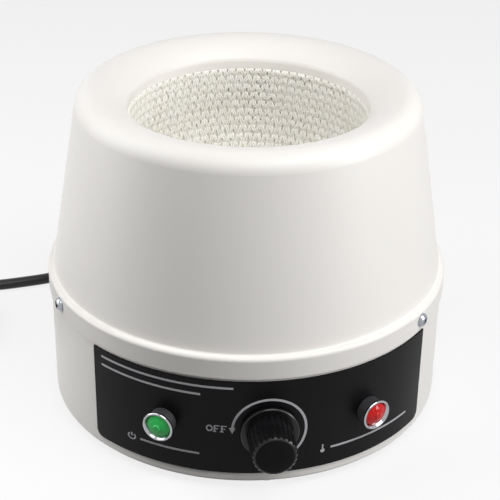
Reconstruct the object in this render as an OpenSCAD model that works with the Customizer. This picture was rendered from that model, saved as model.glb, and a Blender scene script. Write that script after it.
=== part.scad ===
// Electric heating mantle for a round-bottomed flask.
// Millimetres, +Z up. The origin is on the bench, under the middle of the case;
// the control panel faces -Y.

/* [Case] */
// Outer diameter of the base
base_d = 200; // [195:1:210]
// Sheet thickness of the base
base_wall = 1; // [0.8:0.1:1.3]
// Gap between the bench and the lower edge of the base
foot_h = 4; // [3.5:0.5:7]
// Outside bend at the bottom edge of the base
base_bend = 2; // [1.6:0.2:3]
// Width of the base's in-turned bottom flange
flange_w = 12; // [11:0.5:14]
// Sheet thickness of the cover
cover_wall = 1; // [0.8:0.1:1.2]
// Gap between the cover's skirt and the base inside it
skirt_gap = 0.2; // [0.1:0.05:0.4]
// Height of the cover's skirt, from its lower edge to the ledge
skirt_h = 11; // [10:0.5:14]
// Width of the ledge between skirt and cone
ledge_w = 2.9; // [2.8:0.1:4]
// Height of the cover from the ledge to the crest of the rim
cover_h = 91.1; // [86:1:98]
// Slope of the cover's side from the vertical, in degrees
cone_taper = 9.4; // [8:0.2:10.4]
// Outer round of the rim
rim_r = 9.2; // [7:0.2:11]
// Turn of the large round between the crest and the mouth's lip, in degrees
dish_turn = 52; // [46:1:60]
// Small round at the mouth's lip
lip_r = 3.5; // [3:0.1:4]
// Diameter of the mouth
mouth_d = 117.8; // [114:0.5:120]
// Length of the straight collar below the lip
collar_h = 3.8; // [3:0.2:6]

/* [Control panel] */
// Height of the panel
panel_h = 51.4; // [49:0.5:54]
// Thickness of the panel
panel_t = 0.8; // [0.5:0.1:0.9]
// Angle that the panel spans round the base, in degrees
panel_span = 104.5; // [98:0.5:112]
// Distance from the base's lower edge to the panel
panel_base = 6; // [5:0.5:8]
// Radius of the panel's lower corners
panel_corner = 4; // [2:0.5:6]
// Height of the knob's axis above the base's lower edge
knob_z = 30.2; // [28:0.2:33]
// Height of the lamps' axes above the base's lower edge
lamp_z = 31.1; // [28:0.2:33]
// Angle from the knob to each lamp, in degrees
lamp_angle = 28.8; // [26:0.2:33]

/* [Knob] */
// Diameter of the knob's skirt
knob_skirt_d = 27.6; // [25:0.2:30]
// Thickness of the knob's skirt
knob_skirt_t = 2; // [1.5:0.1:3]
// Diameter of the grip where it leaves the skirt
knob_back_d = 22.4; // [21:0.2:24]
// Diameter of the grip at its face
knob_face_d = 20.8; // [19:0.2:21]
// Distance from the knob's back to its face
knob_l = 19.5; // [17:0.5:23]
// Number of flutes round the grip
flutes = 24; // [18:1:26]
// Diameter of the cutter of a flute
flute_d = 1.8; // [1.4:0.1:2]
// Diameter of the potentiometer's shaft
shaft_d = 6; // [5:0.1:6.4]
// Radial clearance of what turns or slides
run_gap = 0.05; // [0.02:0.01:0.08]

/* [Lamps] */
// Outer diameter of the lamp's bright ring
bezel_d = 15.2; // [14.4:0.2:17]
// Diameter of the lens
lens_d = 11.7; // [10.6:0.1:12.2]
// Diameter of the lamp's barrel in front of the panel
barrel_d = 13; // [12.6:0.2:14]
// Length of the barrel from the panel to the bright ring
barrel_l = 5.3; // [4:0.1:8]
// Diameter of the threaded neck that passes the wall
neck_d = 10; // [8:0.5:11]

/* [Heating bowl] */
// How far the liner's knitted rows stand inside the mouth
row_inset = 1.4; // [1:0.1:2.6]
// Thickness of the liner between its rows
liner_t = 2.5; // [2:0.1:3]
// Distance between the liner's knitted rows
row_pitch = 4.6; // [4:0.1:6]
// Height of a knitted row above the liner's web
row_h = 1.5; // [1:0.1:1.8]
// Stitch gaps in each of the liner's open rows
gaps_per_row = 24; // [12:1:24]
// Rows of stitch gaps
gap_rows = 5; // [2:1:5]
// Diameter of the sleeved heating wire
wire_d = 3; // [2:0.1:4]
// Turns of the heating wire round the bowl
wire_turns = 8; // [5:1:9]
// Thickness of the insulation below the bowl
insulation_t = 14; // [12:0.5:16]
// Room between the potentiometer and the partition under the insulation
pot_room = 5.5; // [4:0.5:8]

/* [Fasteners and feet] */
// Thread diameter of the case screws
screw_d = 4; // [3.5:0.1:4.5]
// Head diameter of the case screws
screw_head_d = 7.6; // [7:0.1:9]
// Head height of the case screws
screw_head_h = 2.4; // [2:0.1:3]
// Gap between the base's flange and each foot
foot_gap = 3; // [1:0.5:8]
// Diameter of a foot at the bottom plate
foot_d = 18; // [16:0.5:20]

/* [Mains lead] */
// Diameter of the mains lead
cord_d = 6.2; // [5.6:0.1:7]
// Length of the cord gland outside the base
gland_l = 20.9; // [20:0.5:40]
// Height of the cord gland above the base's lower edge
gland_z = 16; // [14:0.5:20]
// Mean diameter of the coil
coil_d = 67.2; // [62:0.2:75]

/* [Hidden] */
$fn = 96;

// a small overlap that lets a cut run clean through a face
over = 1;
// radial gap between pieces that lie against each other on curved faces
seat = 0.1;
// radial clearance of a screw or bush in its hole
hole_gap = 0.25;

// case
base_r = base_d / 2;
base_in = base_r - base_wall;
skirt_r = base_r + skirt_gap + cover_wall;
panel_gap = 1.8;
skirt_z = foot_h + panel_base + panel_h + panel_gap;
ledge_z = skirt_z + skirt_h;
crest_z = ledge_z + cover_h;
skirt_round = 2;
ledge_fillet = 1.1;
cone_foot_r = skirt_r - ledge_w;
mouth_r = mouth_d / 2;
rim_z = crest_z - rim_r;
rim_x = cone_r(rim_z) - rim_r / cos(cone_taper);
lip_x = mouth_r + lip_r;
// the large round spans from the crest to the lip
dish_r = lip_r + (rim_x - lip_x) / sin(dish_turn);
dish_z = crest_z - dish_r;
lip_z = dish_z + (dish_r - lip_r) * cos(dish_turn);
collar_z = lip_z - collar_h;
// the base's top edge meets the round inside the cover's skirt
base_top = ledge_z - skirt_round
    + sqrt(pow(skirt_round - cover_wall, 2) - pow(base_r - (skirt_r - skirt_round), 2)) - seat;

// bottom plate
plate_t = 1.2;
plate_z = foot_h + base_wall;
plate_top = plate_z + plate_t;
plate_r = base_r - base_bend - seat;
bottom_screw_r = base_r - flange_w / 2 - base_wall;
foot_reach = base_r - flange_w - foot_gap - foot_d / 2;
slot_count = 24;
slot_w = 3;
slot_in = 50;
slot_out = 64;

// screws round the skirt, as angles from the front
shell_screw_angles = [-70, 50, 170];
shell_screw_z = skirt_z + skirt_h / 2;
corner_angles = [45, 135, 225, 315];
side_angles = [0, 90, 180, 270];
nut_h = 0.8 * screw_d;
nut_flats = 1.75 * screw_d;
shank_l = 9;
plate_screw_l = 6;
foot_recess_h = screw_head_h + 0.4;

// panel
panel_r = base_r + seat;
panel_face = panel_r + panel_t;
panel_z = foot_h + panel_base;
axis_z = foot_h + knob_z;
lamp_axis_z = foot_h + lamp_z;

// knob and potentiometer, measured outwards from the case's axis
knob_gap = 0.5;
knob_back = panel_face + knob_gap;
knob_face = knob_back + knob_l;
knob_recess_d = 15;
knob_edge = 0.7;
bush_d = shaft_d + 2;
pot_d = 24;
pot_l = 11;
pot_face = sqrt(pow(base_in, 2) - pow(pot_d / 2, 2)) - 0.05;
pot_nut_h = 1.6;
washer_t = 0.5;
washer_d = knob_recess_d - 1.2;
pot_nut_flats = bush_d + 3;
knob_recess_h = washer_t + pot_nut_h + 1.2;
shaft_in = pot_face - 4;
shaft_out = knob_face - 4;

// lamps
neck_l = 17;
lamp_floor = 3;
bezel_h = 1.7;
bezel_back = panel_face + 0.05 + barrel_l;
lens_back = bezel_back + seat;
lens_rim = 0.6;
lens_h = 2.2;
nub_h = 0.7;
lamp_bore = neck_d - 2.4;
lamp_nut_flats = neck_d + 4;
lamp_nut_h = 3;
lamp_nut_face = sqrt(pow(base_in, 2) - pow(lamp_nut_flats / sqrt(3), 2)) - 0.05;

// heating bowl
bowl_r = mouth_r - row_inset;
web_r = bowl_r + row_h;
liner_r = web_r + liner_t;
liner_top = collar_z - 0.3;
liner_neck_t = 1.6;
liner_neck_h = 4.2;
band_t = 0.8;
wire_gap = 0.3;
wire_r = liner_r + wire_gap + wire_d / 2;
insulation_r = liner_r + 2 * wire_gap + wire_d;
insulation_top = liner_top - 3;
partition_t = 1.2;
partition_top = axis_z + pot_d / 2 + pot_room + partition_t;
bowl_z = partition_top + insulation_t + insulation_r;
bracket_t = 1.5;
bracket_w = 16;
bracket_face = sqrt(pow(base_in, 2) - pow(bracket_w / 2, 2)) - 0.05;
bracket_z = partition_top - partition_t - bracket_t;
bracket_foot = 12;
partition_r = bracket_face - bracket_t - 0.5;
nut_room = 4;
insulation_out = bracket_face - bracket_t - nut_h - nut_room;

// control board
board_w = 80;
board_l = 60;
board_t = 1.6;
board_y = 5;
standoff_h = 8;
board_z = plate_top + standoff_h;
board_top = board_z + board_t;
board_margin = 6;
board_screw_d = 3;
board_screw_l = 6;
// heat sink, across the board behind its middle, with the triac on its front
sink_w = 34;
sink_h = 24;
sink_back = 3;
sink_y = board_y + 8;
fins = 5;
fin_t = 1.4;
fin_l = 14;
// capacitor in the board's front left corner
cap_w = 18;
cap_l = 8;
cap_h = 14;
cap_x = 10 - board_w / 2;
cap_y = board_y + 12 - board_l / 2;

// mains lead
cord_r = cord_d / 2;
cord_z = foot_h + gland_z;
gland_bore = cord_d + 0.2;
gland_neck = cord_d + 5;
gland_flange = cord_d + 11;
block_pole = 10;
block_l = 16;
block_gap = 15;
block_y = base_in - block_gap - block_l;
block_h = cord_z + 6 - plate_top;
coil_x = -182;
coil_y = 60;
turn_cols = 3;
turn_rows = 2;
// the lead lies on the bench, runs behind the case and reaches the coil
lead_route = [
    [0, 104, cord_z], [0, 121, cord_z], [0, 130, 19.9], [-1, 140, 19], [-5, 150, 17.2],
    [-14, 159, 14.5], [-26, 162, 11.5], [-38, 159, 8.6], [-50, 150, 6], [-62, 139, 4.3],
    [-74, 128, 3.4], [-86, 118, 3.1], [-96, 111.5, 3.1], [-106, 107.6, 3.1],
    [-120, 104.4, 3.1], [-134, 102, 3.1], [-150, 100.4, 3.1], [-166, 99.8, 3.1],
    [-181, 99.8, 3.1]
];
// from the last turn of the coil down to the plug
plug_route = [
    [-183, 99.8, 9.3], [-196, 100.8, 8.8], [-208, 98.6, 7.5], [-219, 92.5, 6],
    [-227, 83, 4.5], [-231.5, 72, 4], [-233, 62, 5.6], [-233, 54, 8.2], [-233, 47, 10.4],
    [-233, 40, 11.5], [-233, 34, 12]
];
plug_x = -233;
plug_y = 36;
plug_z = 12;
plug_relief_l = 13;
plug_grip_l = 9;
plug_body_l = 18;

function cone_r(z) = cone_foot_r - (z - ledge_z) * tan(cone_taper);

// children drawn with +Z outwards and +Y up, at an angle from the front
module radial(angle, height) {
    rotate([0, 0, angle])
        translate([0, 0, height])
            rotate([90, 0, 0])
                children();
}

// a hexagon across flats, extruded
module hex(flats, height) {
    cylinder(d = flats / cos(30), h = height, $fn = 6);
}

// pan-head screw, its head's underside at z = 0 and its shank along -Z
module pan_screw(thread, head_d, head_h, length) {
    dome = head_h * 0.45;
    slot = head_d * 0.13;
    difference() {
        union() {
            rotate_extrude()
                intersection() {
                    union() {
                        square([head_d / 2, head_h - dome]);
                        translate([head_d / 2 - dome, head_h - dome])
                            circle(r = dome, $fn = 48);
                        square([head_d / 2 - dome, head_h]);
                    }
                    square([head_d, head_h]);
                }
            translate([0, 0, -length])
                cylinder(d = thread, h = length + head_h / 2);
        }
        for (turn = [0, 90])
            rotate([0, 0, turn])
                translate([-head_d * 0.3, -slot / 2, head_h * 0.45])
                    cube([head_d * 0.6, slot, head_h]);
    }
}

module nut(thread, flats, height) {
    difference() {
        hex(flats, height);
        translate([0, 0, -over])
            cylinder(d = thread + 2 * seat, h = height + 2 * over);
    }
}

// ---- case ----

// half section of the space inside the cover's outer face, drawn in by "inset"
module cover_section(inset, floor_z) {
    slope = [cos(cone_taper), sin(cone_taper)];
    side = inset / cos(cone_taper);
    fillet_z = ledge_z + ledge_fillet;
    fillet_x = cone_r(fillet_z) + ledge_fillet / cos(cone_taper);
    round_x = skirt_r - skirt_round;
    reach = 3 * ledge_fillet;
    // skirt with its upper round
    translate([mouth_r + inset, floor_z])
        square([skirt_r - mouth_r - 2 * inset, ledge_z - skirt_round - floor_z]);
    translate([mouth_r + inset, floor_z])
        square([round_x - mouth_r - inset, ledge_z - inset - floor_z]);
    translate([round_x, ledge_z - skirt_round])
        circle(r = skirt_round - inset, $fn = 64);
    // hollow fillet between ledge and cone
    difference() {
        polygon([
            [fillet_x - reach, ledge_z - inset - over], [fillet_x, ledge_z - inset - over],
            [fillet_x, fillet_z], [fillet_x, fillet_z] - reach * slope
        ]);
        translate([fillet_x, fillet_z])
            circle(r = ledge_fillet + inset, $fn = 64);
    }
    // tapered side, up to where the rim's round takes over
    polygon([
        [mouth_r + inset, ledge_z - inset - over],
        [cone_r(ledge_z - inset - over) - side, ledge_z - inset - over],
        [rim_x, rim_z] + (rim_r - inset) * slope,
        [rim_x, rim_z], [rim_x, lip_z], [mouth_r + inset, lip_z]
    ]);
    translate([rim_x, rim_z])
        circle(r = rim_r - inset);
    // the dish between crest and lip
    intersection() {
        translate([rim_x, dish_z])
            circle(r = dish_r - inset, $fn = 192);
        translate([rim_x, dish_z])
            polygon([
                [0, 0], 2 * dish_r * [-sin(dish_turn), cos(dish_turn)],
                2 * dish_r * [-sin(dish_turn), 1], [0, 2 * dish_r]
            ]);
    }
    translate([lip_x, lip_z])
        circle(r = lip_r - inset);
}

module upper_shell() color("whitesmoke") {
    difference() {
        rotate_extrude($fn = 180)
            difference() {
                cover_section(0, skirt_z);
                cover_section(cover_wall, skirt_z - over);
                square([rim_x, collar_z]);
            }
        for (angle = shell_screw_angles)
            radial(angle, shell_screw_z)
                translate([0, 0, base_r - over])
                    cylinder(d = screw_d + 2 * hole_gap, h = 4 * over);
    }
}

module base_section(inset) {
    translate([0, foot_h + inset])
        square([base_r - base_bend, base_top]);
    translate([0, foot_h + base_bend])
        square([base_r - inset, base_top]);
    translate([base_r - base_bend, foot_h + base_bend])
        circle(r = base_bend - inset, $fn = 64);
}

module base_shell() color("gainsboro") {
    difference() {
        rotate_extrude($fn = 180)
            difference() {
                base_section(0);
                base_section(base_wall);
                square([base_r - flange_w, base_top]);
                translate([0, base_top])
                    square([2 * base_r, base_top]);
            }
        radial(0, axis_z)
            translate([0, 0, base_in - over])
                cylinder(d = bush_d + 2 * hole_gap, h = 4 * over);
        for (side = [-1, 1])
            radial(side * lamp_angle, lamp_axis_z)
                translate([0, 0, base_in - over])
                    cylinder(d = neck_d + 2 * hole_gap, h = 4 * over);
        radial(180, cord_z)
            translate([0, 0, base_in - over])
                cylinder(d = gland_neck + 2 * seat, h = 4 * over);
        for (angle = shell_screw_angles)
            radial(angle, shell_screw_z)
                translate([0, 0, base_in - over])
                    cylinder(d = screw_d + 2 * hole_gap, h = 4 * over);
        for (angle = side_angles)
            rotate([0, 0, angle])
                translate([0, -bottom_screw_r, foot_h - over])
                    cylinder(d = screw_d + 2 * hole_gap, h = 4 * over);
    }
}

module bottom_plate() color("silver") {
    difference() {
        translate([0, 0, plate_z])
            cylinder(r = plate_r, h = plate_t);
        for (angle = corner_angles)
            rotate([0, 0, angle])
                translate([0, -foot_reach, plate_z - over])
                    cylinder(d = screw_d + 2 * hole_gap, h = 4 * over);
        for (angle = side_angles)
            rotate([0, 0, angle])
                translate([0, -bottom_screw_r, plate_z - over])
                    cylinder(d = screw_d + 2 * seat, h = 4 * over);
        for (step = [0 : slot_count - 1])
            rotate([0, 0, (step + 0.5) * 360 / slot_count])
                translate([0, 0, plate_z - over])
                    linear_extrude(plate_t + 2 * over) {
                        translate([-slot_w / 2, slot_in])
                            square([slot_w, slot_out - slot_in]);
                        for (y = [slot_in, slot_out])
                            translate([0, y])
                                circle(d = slot_w, $fn = 24);
                    }
    }
}

module bottom_screws() color("lightgray") {
    for (angle = side_angles)
        rotate([0, 0, angle])
            translate([0, -bottom_screw_r, foot_h])
                mirror([0, 0, 1])
                    pan_screw(screw_d, screw_head_d, screw_head_h, plate_screw_l);
}

module feet() color("#202020") {
    foot_r = foot_d / 2;
    foot_edge = 1.25;
    recess_d = screw_head_d + 1.6;
    for (angle = corner_angles)
        rotate([0, 0, angle])
            translate([0, -foot_reach, 0])
                difference() {
                    rotate_extrude()
                        polygon([
                            [0, 0], [foot_r - 1.6 * foot_edge, 0], [foot_r - foot_edge, 0.5],
                            [foot_r, plate_z], [0, plate_z]
                        ]);
                    translate([0, 0, -over])
                        cylinder(d = recess_d, h = foot_recess_h + over);
                    cylinder(d = screw_d + 2 * hole_gap, h = foot_h + 2 * over);
                }
}

module foot_screws() color("lightgray") {
    for (angle = corner_angles)
        rotate([0, 0, angle])
            translate([0, -foot_reach, foot_recess_h])
                mirror([0, 0, 1])
                    pan_screw(screw_d, screw_head_d, screw_head_h, shank_l);
}

module foot_nuts() color("silver") {
    for (angle = corner_angles)
        rotate([0, 0, angle])
            translate([0, -foot_reach, plate_top])
                nut(screw_d, nut_flats, nut_h);
}

// ---- control panel ----

module control_panel() color("#17171a") {
    corner_turn = panel_corner / panel_face * 180 / PI;
    difference() {
        rotate([0, 0, -90 - panel_span / 2])
            rotate_extrude(angle = panel_span, $fn = 180)
                translate([panel_r, panel_z])
                    square([panel_t, panel_h]);
        // lower corners
        for (side = [-1, 1])
            radial(side * (panel_span / 2 - corner_turn), panel_z + panel_corner)
                translate([0, 0, base_r - over])
                    scale([side, 1, 1])
                        linear_extrude(4 * over)
                            difference() {
                                translate([0, -2 * panel_corner])
                                    square(2 * panel_corner);
                                circle(r = panel_corner, $fn = 64);
                            }
        radial(0, axis_z)
            translate([0, 0, base_r - over])
                cylinder(d = bush_d + 2 * hole_gap, h = 4 * over);
        for (side = [-1, 1])
            radial(side * lamp_angle, lamp_axis_z)
                translate([0, 0, base_r - over])
                    cylinder(d = neck_d + 2 * hole_gap, h = 4 * over);
    }
}

module knob() color("#101012") {
    grip_back = knob_back + knob_skirt_t;
    grip_l = knob_face - grip_back;
    lean = (knob_back_d - knob_face_d) / 2;
    skirt_edge = 0.5;
    // plain band below the flutes, and how far a flute's axis lies outside the grip
    band_l = 0.6;
    flute_out = 0.18 * flute_d;
    radial(0, axis_z)
        difference() {
            rotate_extrude()
                polygon([
                    [0, knob_back], [knob_skirt_d / 2, knob_back],
                    [knob_skirt_d / 2, grip_back - skirt_edge],
                    [knob_skirt_d / 2 - skirt_edge, grip_back],
                    [knob_back_d / 2, grip_back], [knob_face_d / 2, knob_face - knob_edge],
                    [knob_face_d / 2 - knob_edge, knob_face], [0, knob_face]
                ]);
            for (step = [0 : flutes - 1])
                rotate([0, 0, (step + 0.5) * 360 / flutes])
                    translate([knob_back_d / 2 + flute_out, 0, grip_back + band_l])
                        rotate([0, -atan(lean / grip_l), 0])
                            cylinder(d = flute_d, h = grip_l + over, $fn = 24);
            translate([0, 0, knob_back - over])
                cylinder(d = knob_recess_d, h = knob_recess_h + over);
            translate([0, 0, knob_back])
                cylinder(d = shaft_d, h = shaft_out - knob_back);
        }
}

module pot_shaft() color("#b9a05a") {
    radial(0, axis_z)
        translate([0, 0, shaft_in])
            cylinder(d = shaft_d, h = shaft_out - shaft_in);
}

module pot_body() color("slategray") {
    bush_out = knob_back + knob_recess_h - 0.4;
    tag_w = 1.6;
    tag_t = 0.8;
    tag_out = 4;
    tag_pitch = 5;
    radial(0, axis_z)
        difference() {
            union() {
                translate([0, 0, pot_face - pot_l])
                    cylinder(d = pot_d, h = pot_l);
                translate([0, 0, pot_face - over])
                    cylinder(d = bush_d, h = bush_out - pot_face + over);
                // solder tags
                for (x = tag_pitch * [-1, 0, 1])
                    translate([x - tag_w / 2, -pot_d / 2 - tag_out, pot_face - pot_l / 2])
                        cube([tag_w, 1.5 * tag_out, tag_t]);
            }
            translate([0, 0, shaft_in - 0.5])
                cylinder(d = shaft_d + 2 * run_gap, h = pot_l + bush_out);
        }
}

module pot_washer() color("silver") {
    radial(0, axis_z)
        translate([0, 0, panel_face])
            difference() {
                cylinder(d = washer_d, h = washer_t);
                translate([0, 0, -over])
                    cylinder(d = bush_d + 2 * seat, h = washer_t + 2 * over);
            }
}

module pot_nut() color("silver") {
    radial(0, axis_z)
        translate([0, 0, panel_face + washer_t])
            nut(bush_d, pot_nut_flats, pot_nut_h);
}

// ---- lamps ----

module at_lamps() {
    for (side = [-1, 1])
        radial(side * lamp_angle, lamp_axis_z)
            children();
}

module lamp_bezels() color("#d8d8dc") {
    ring_r = bezel_d / 2;
    bore_r = lens_d / 2 + seat;
    edge = 0.5;
    top = bezel_back + bezel_h;
    // the inner wall falls back to the lens as a cup
    at_lamps()
        rotate_extrude()
            polygon([
                [bore_r, bezel_back], [ring_r - edge, bezel_back],
                [ring_r, bezel_back + edge], [ring_r, top - 0.8 * edge],
                [ring_r - 0.4 * edge, top - 0.2 * edge], [ring_r - edge, top],
                [ring_r - 1.8 * edge, top - 0.2 * edge], [bore_r, bezel_back + edge]
            ]);
}

module lens() {
    r = lens_d / 2;
    flat_z = lens_back + lens_h;
    rotate_extrude()
        polygon([
            [0, lens_back], [r, lens_back], [r, lens_back + lens_rim], [0.62 * r, flat_z],
            [0.34 * r, flat_z], [0.28 * r, flat_z + 0.7 * nub_h], [0, flat_z + nub_h]
        ]);
}

module green_lens() color("#1f9a45") {
    radial(-lamp_angle, lamp_axis_z)
        lens();
}

module red_lens() color("#b01010") {
    radial(lamp_angle, lamp_axis_z)
        lens();
}

module lamp_housings() color("#1a1a1a") {
    at_lamps()
        difference() {
            union() {
                translate([0, 0, bezel_back - barrel_l])
                    cylinder(d = barrel_d, h = barrel_l);
                translate([0, 0, panel_face - neck_l])
                    cylinder(d = neck_d, h = neck_l + over);
            }
            translate([0, 0, panel_face - neck_l + lamp_floor])
                cylinder(d = lamp_bore, h = neck_l + barrel_l);
        }
}

module lamp_nuts() color("silver") {
    at_lamps()
        translate([0, 0, lamp_nut_face - lamp_nut_h])
            nut(neck_d, lamp_nut_flats, lamp_nut_h);
}

module lamp_bulbs() color("orange") {
    bulb_d = lamp_bore - 2;
    bulb_l = 10;
    at_lamps()
        translate([0, 0, panel_face - neck_l + lamp_floor]) {
            cylinder(d = bulb_d, h = bulb_l);
            translate([0, 0, bulb_l])
                sphere(d = bulb_d, $fn = 48);
        }
}

// ---- what joins cover and base ----

module shell_screws() color("gainsboro") {
    for (angle = shell_screw_angles)
        radial(angle, shell_screw_z)
            translate([0, 0, skirt_r])
                pan_screw(screw_d, screw_head_d, screw_head_h, shank_l);
}

module shell_brackets() color("silver") {
    top_z = ledge_z - skirt_round;
    for (angle = shell_screw_angles)
        radial(angle, 0)
            difference() {
                union() {
                    translate([-bracket_w / 2, bracket_z, bracket_face - bracket_t])
                        cube([bracket_w, top_z - bracket_z, bracket_t]);
                    translate([-bracket_w / 2, bracket_z, bracket_face - bracket_foot])
                        cube([bracket_w, bracket_t, bracket_foot]);
                }
                translate([0, shell_screw_z, bracket_face - 2 * bracket_t])
                    cylinder(d = screw_d + 2 * hole_gap, h = 3 * bracket_t);
            }
}

module shell_nuts() color("silver") {
    for (angle = shell_screw_angles)
        radial(angle, shell_screw_z)
            translate([0, 0, bracket_face - bracket_t - nut_h])
                nut(screw_d, nut_flats, nut_h);
}

// ---- heating bowl ----

module partition_plate() color("silver") {
    translate([0, 0, partition_top - partition_t])
        cylinder(r = partition_r, h = partition_t);
}

module insulation_block() color("#efe8d4") {
    top_r = cone_r(insulation_top) - cover_wall / cos(cone_taper) - seat;
    shoulder_z = ledge_z + (cone_foot_r - cover_wall / cos(cone_taper) - seat - insulation_out)
        / tan(cone_taper);
    rotate_extrude($fn = 144)
        difference() {
            polygon([
                [0, partition_top], [insulation_out, partition_top],
                [insulation_out, shoulder_z], [top_r, insulation_top], [0, insulation_top]
            ]);
            translate([0, bowl_z])
                circle(r = insulation_r, $fn = 192);
            translate([0, bowl_z])
                square([insulation_r, insulation_top]);
        }
}

// distance s along the bowl's wall from its lowest point, as [radius, height]
function bowl_point(radius, s) =
    let (quarter = radius * PI / 2)
    s < quarter
        ? [radius * sin(s / radius * 180 / PI), bowl_z - radius * cos(s / radius * 180 / PI)]
        : [radius, bowl_z + s - quarter];

// a tube swept along points: rings of "sides" points, closed at both ends
function unit(v) = v / norm(v);
function tangent(path, i) =
    unit(path[min(i + 1, len(path) - 1)] - path[max(i - 1, 0)]);
function ring(path, i, radius, sides) =
    let (
        along = tangent(path, i),
        across = unit(cross(along, abs(along[2]) > 0.9 ? [1, 0, 0] : [0, 0, 1])),
        upward = cross(across, along)
    )
    [for (k = [0 : sides - 1])
        path[i] + radius * (cos(360 * (k + 0.5) / sides) * across
            + sin(360 * (k + 0.5) / sides) * upward)];

module tube(path, radius, sides) {
    rings = len(path);
    points = [for (i = [0 : rings - 1]) each ring(path, i, radius, sides)];
    walls = [
        for (i = [0 : rings - 2])
            for (k = [0 : sides - 1])
                [i * sides + k, i * sides + (k + 1) % sides,
                    (i + 1) * sides + (k + 1) % sides, (i + 1) * sides + k]
    ];
    first = [for (k = [sides - 1 : -1 : 0]) k];
    last = [for (k = [0 : sides - 1]) (rings - 1) * sides + k];
    polyhedron(points = points, faces = concat(walls, [first, last]), convexity = 10);
}

module heating_wire() color("#c9b48c") {
    steps = 36;
    start_s = 20;
    end_s = wire_r * PI / 2 + insulation_top - bowl_z - wire_d;
    count = wire_turns * steps;
    path = [
        for (i = [0 : count])
            let (p = bowl_point(wire_r, start_s + (end_s - start_s) * i / count))
            [p[0] * cos(i * 360 / steps), p[0] * sin(i * 360 / steps), p[1]]
    ];
    tube(path, wire_d / 2, 6);
}

module woven_liner() color("ivory") {
    round_s = web_r * PI / 2;
    top_s = round_s + liner_top - bowl_z;
    row_count = floor((top_s - row_h) / row_pitch);
    gap_d = row_pitch - 2 * row_h - 0.1;
    difference() {
        rotate_extrude($fn = 180)
            difference() {
                union() {
                    // web of the liner
                    difference() {
                        union() {
                            translate([0, bowl_z])
                                circle(r = liner_r, $fn = 192);
                            translate([0, bowl_z])
                                square([liner_r, liner_top - bowl_z]);
                            // neck that passes behind the cover's collar
                            translate([mouth_r + cover_wall + seat, liner_top - over])
                                square([liner_neck_t, liner_neck_h + over]);
                        }
                        translate([0, bowl_z])
                            circle(r = web_r, $fn = 192);
                        translate([0, bowl_z])
                            square([web_r, 2 * bowl_z]);
                    }
                    // knitted rows, counted down from the mouth
                    for (row = [0 : row_count - 1])
                        translate(bowl_point(web_r, top_s - row_h - row * row_pitch))
                            circle(r = row_h, $fn = 24);
                }
                translate([-bowl_z, 0])
                    square([bowl_z, 2 * bowl_z]);
            }
        // gaps between the stitches of the upper rows
        for (row = [0 : gap_rows - 1])
            for (step = [0 : gaps_per_row - 1]) {
                p = bowl_point(web_r, top_s - row_h - (row + 0.5) * row_pitch);
                tip = p[1] < bowl_z ? asin((bowl_z - p[1]) / web_r) : 0;
                rotate([0, 0, (step + (row % 2) / 2) * 360 / gaps_per_row])
                    translate([p[0], 0, p[1]])
                        rotate([0, 90 + tip, 0])
                            translate([0, 0, -over])
                                cylinder(d = gap_d, h = liner_t + 2 * over, $fn = 16);
            }
    }
}

module liner_band() color("silver") {
    neck_out = mouth_r + cover_wall + seat + liner_neck_t;
    translate([0, 0, liner_top + 2 * seat])
        difference() {
            cylinder(r = neck_out + seat + band_t, h = liner_neck_h - 6 * seat, $fn = 144);
            translate([0, 0, -over])
                cylinder(r = neck_out + seat, h = liner_neck_h + over, $fn = 144);
        }
}

// ---- electrical parts in the base ----

module at_board_corners() {
    for (x = [-1, 1])
        for (y = [-1, 1])
            translate([x * (board_w / 2 - board_margin), board_y + y * (board_l / 2 - board_margin), 0])
                children();
}

module control_board() color("darkgreen") {
    difference() {
        translate([-board_w / 2, board_y - board_l / 2, board_z])
            cube([board_w, board_l, board_t]);
        at_board_corners()
            translate([0, 0, board_z - over])
                cylinder(d = board_screw_d + 2 * seat, h = board_t + 2 * over, $fn = 24);
    }
}

module board_standoffs() color("#b9a05a") {
    at_board_corners()
        translate([0, 0, plate_top])
            difference() {
                hex(2 * board_screw_d, standoff_h);
                translate([0, 0, standoff_h - board_screw_l])
                    cylinder(d = board_screw_d + seat, h = board_screw_l + over, $fn = 24);
            }
}

module board_screws() color("lightgray") {
    at_board_corners()
        translate([0, 0, board_top])
            pan_screw(board_screw_d, 1.9 * board_screw_d, 0.65 * board_screw_d, board_screw_l);
}

module heat_sink() color("#9a9ea4") {
    translate([-sink_w / 2, sink_y, board_top]) {
        cube([sink_w, sink_back, sink_h]);
        for (i = [0 : fins - 1])
            translate([i * (sink_w - fin_t) / (fins - 1), 0, 0])
                cube([fin_t, fin_l, sink_h]);
    }
}

module triac() color("#2a2a2a") {
    case_w = 10;
    case_h = 9;
    tab_h = 15.5;
    leg_h = 5;
    leg_w = 0.8;
    translate([0, sink_y, board_top + leg_h]) {
        translate([-case_w / 2, -4.4, 0])
            cube([case_w, 4.4, case_h]);
        translate([-case_w / 2, -1.3, 0])
            cube([case_w, 1.3, tab_h]);
        for (side = [-1, 0, 1])
            translate([side * 3.4 - leg_w / 2, -2.6, -leg_h])
                cube([leg_w, 0.6, leg_h + 0.5]);
    }
}

module capacitor() color("#c8362c") {
    translate([cap_x, cap_y, board_top])
        cube([cap_w, cap_l, cap_h]);
}

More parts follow.
